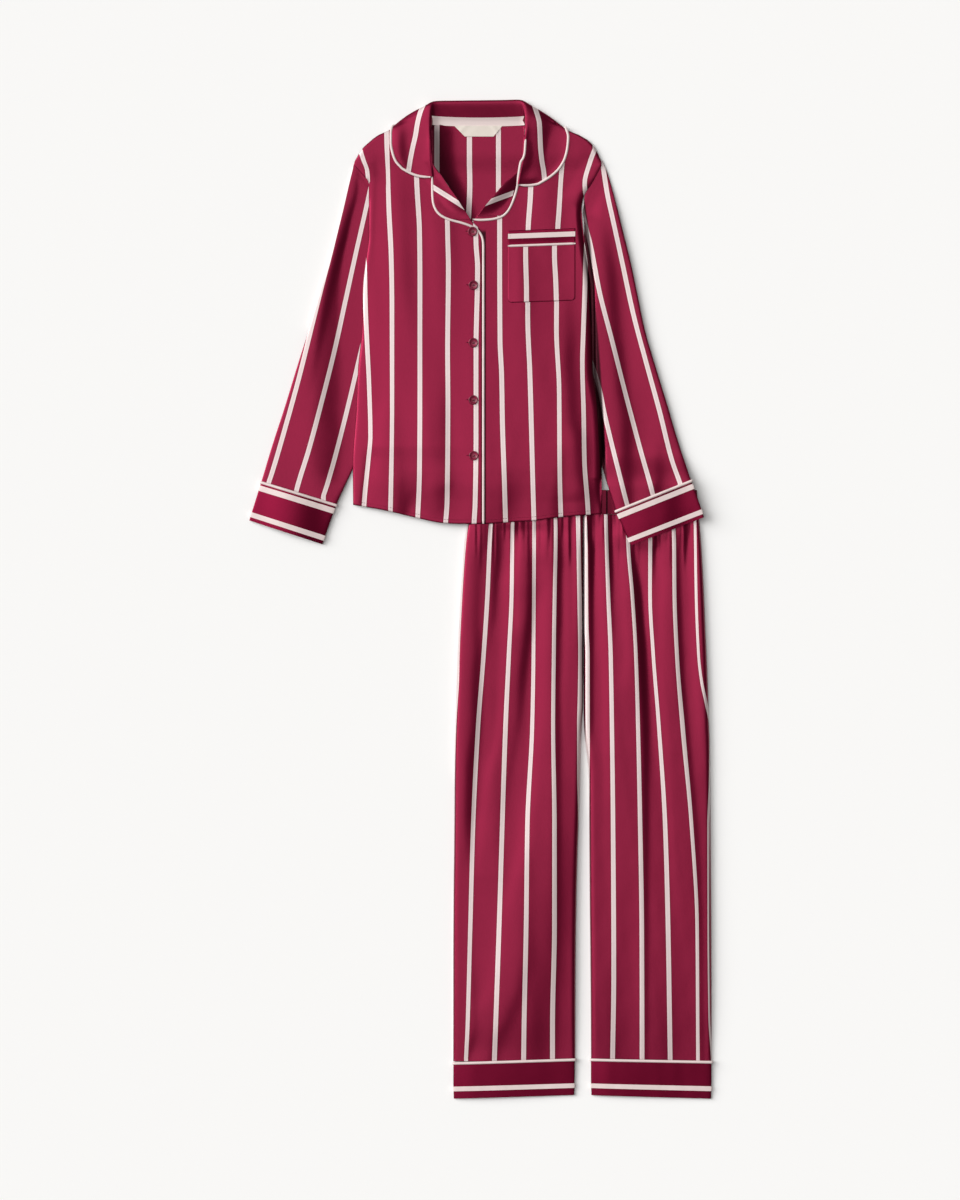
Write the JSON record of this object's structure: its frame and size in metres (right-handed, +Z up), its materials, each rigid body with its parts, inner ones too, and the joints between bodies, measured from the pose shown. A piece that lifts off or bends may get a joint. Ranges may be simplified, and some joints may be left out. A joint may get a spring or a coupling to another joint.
{
  "type": "pyjama set",
  "caption": "Child's striped satin pyjama set laid flat: notch-collar button-front shirt with chest pocket over straight elastic-waist trousers.",
  "frame": {"origin": "on the surface the set lies on, under the middle of its outline", "axes": "+Z up from the surface through the flat cloth, +Y from the trouser hems to the collar, +X towards the wearer's left"},
  "size_m": [0.5774, 1.249, 0.0146],
  "materials": {
    "satin": "satin",
    "ivory_satin": "satin",
    "button_plastic": "gloss"
  },
  "bodies": {
    "root": {"shirt_back": "satin", "shirt_front_right": "satin", "shirt_front_left": "satin", "collar": "satin", "lapel_right": "satin", "lapel_left": "satin", "sleeve_right": "satin", "sleeve_left": "satin", "cuff_right": "satin", "cuff_left": "satin", "pocket": "satin", "pocket_band": "satin", "trouser_front_right": "satin", "trouser_front_left": "satin", "trouser_back_right": "satin", "trouser_back_left": "satin", "waistband": "satin", "hem_band_right": "satin", "hem_band_left": "satin", "collar_piping": "ivory_satin", "edge_piping_right": "ivory_satin", "edge_piping_left": "ivory_satin", "neck_tape": "ivory_satin", "label": "ivory_satin", "cuff_piping_right": "ivory_satin", "cuff_piping_left": "ivory_satin", "cuff_tape_upper_right": "ivory_satin", "cuff_tape_upper_left": "ivory_satin", "cuff_tape_lower_right": "ivory_satin", "cuff_tape_lower_left": "ivory_satin", "pocket_tape": "ivory_satin", "pocket_piping": "ivory_satin", "hem_piping_right": "ivory_satin", "hem_piping_left": "ivory_satin", "hem_tape_right": "ivory_satin", "hem_tape_left": "ivory_satin", "button_1": "button_plastic", "button_2": "button_plastic", "button_3": "button_plastic", "button_4": "button_plastic", "button_5": "button_plastic"}
  },
  "joints": []
}
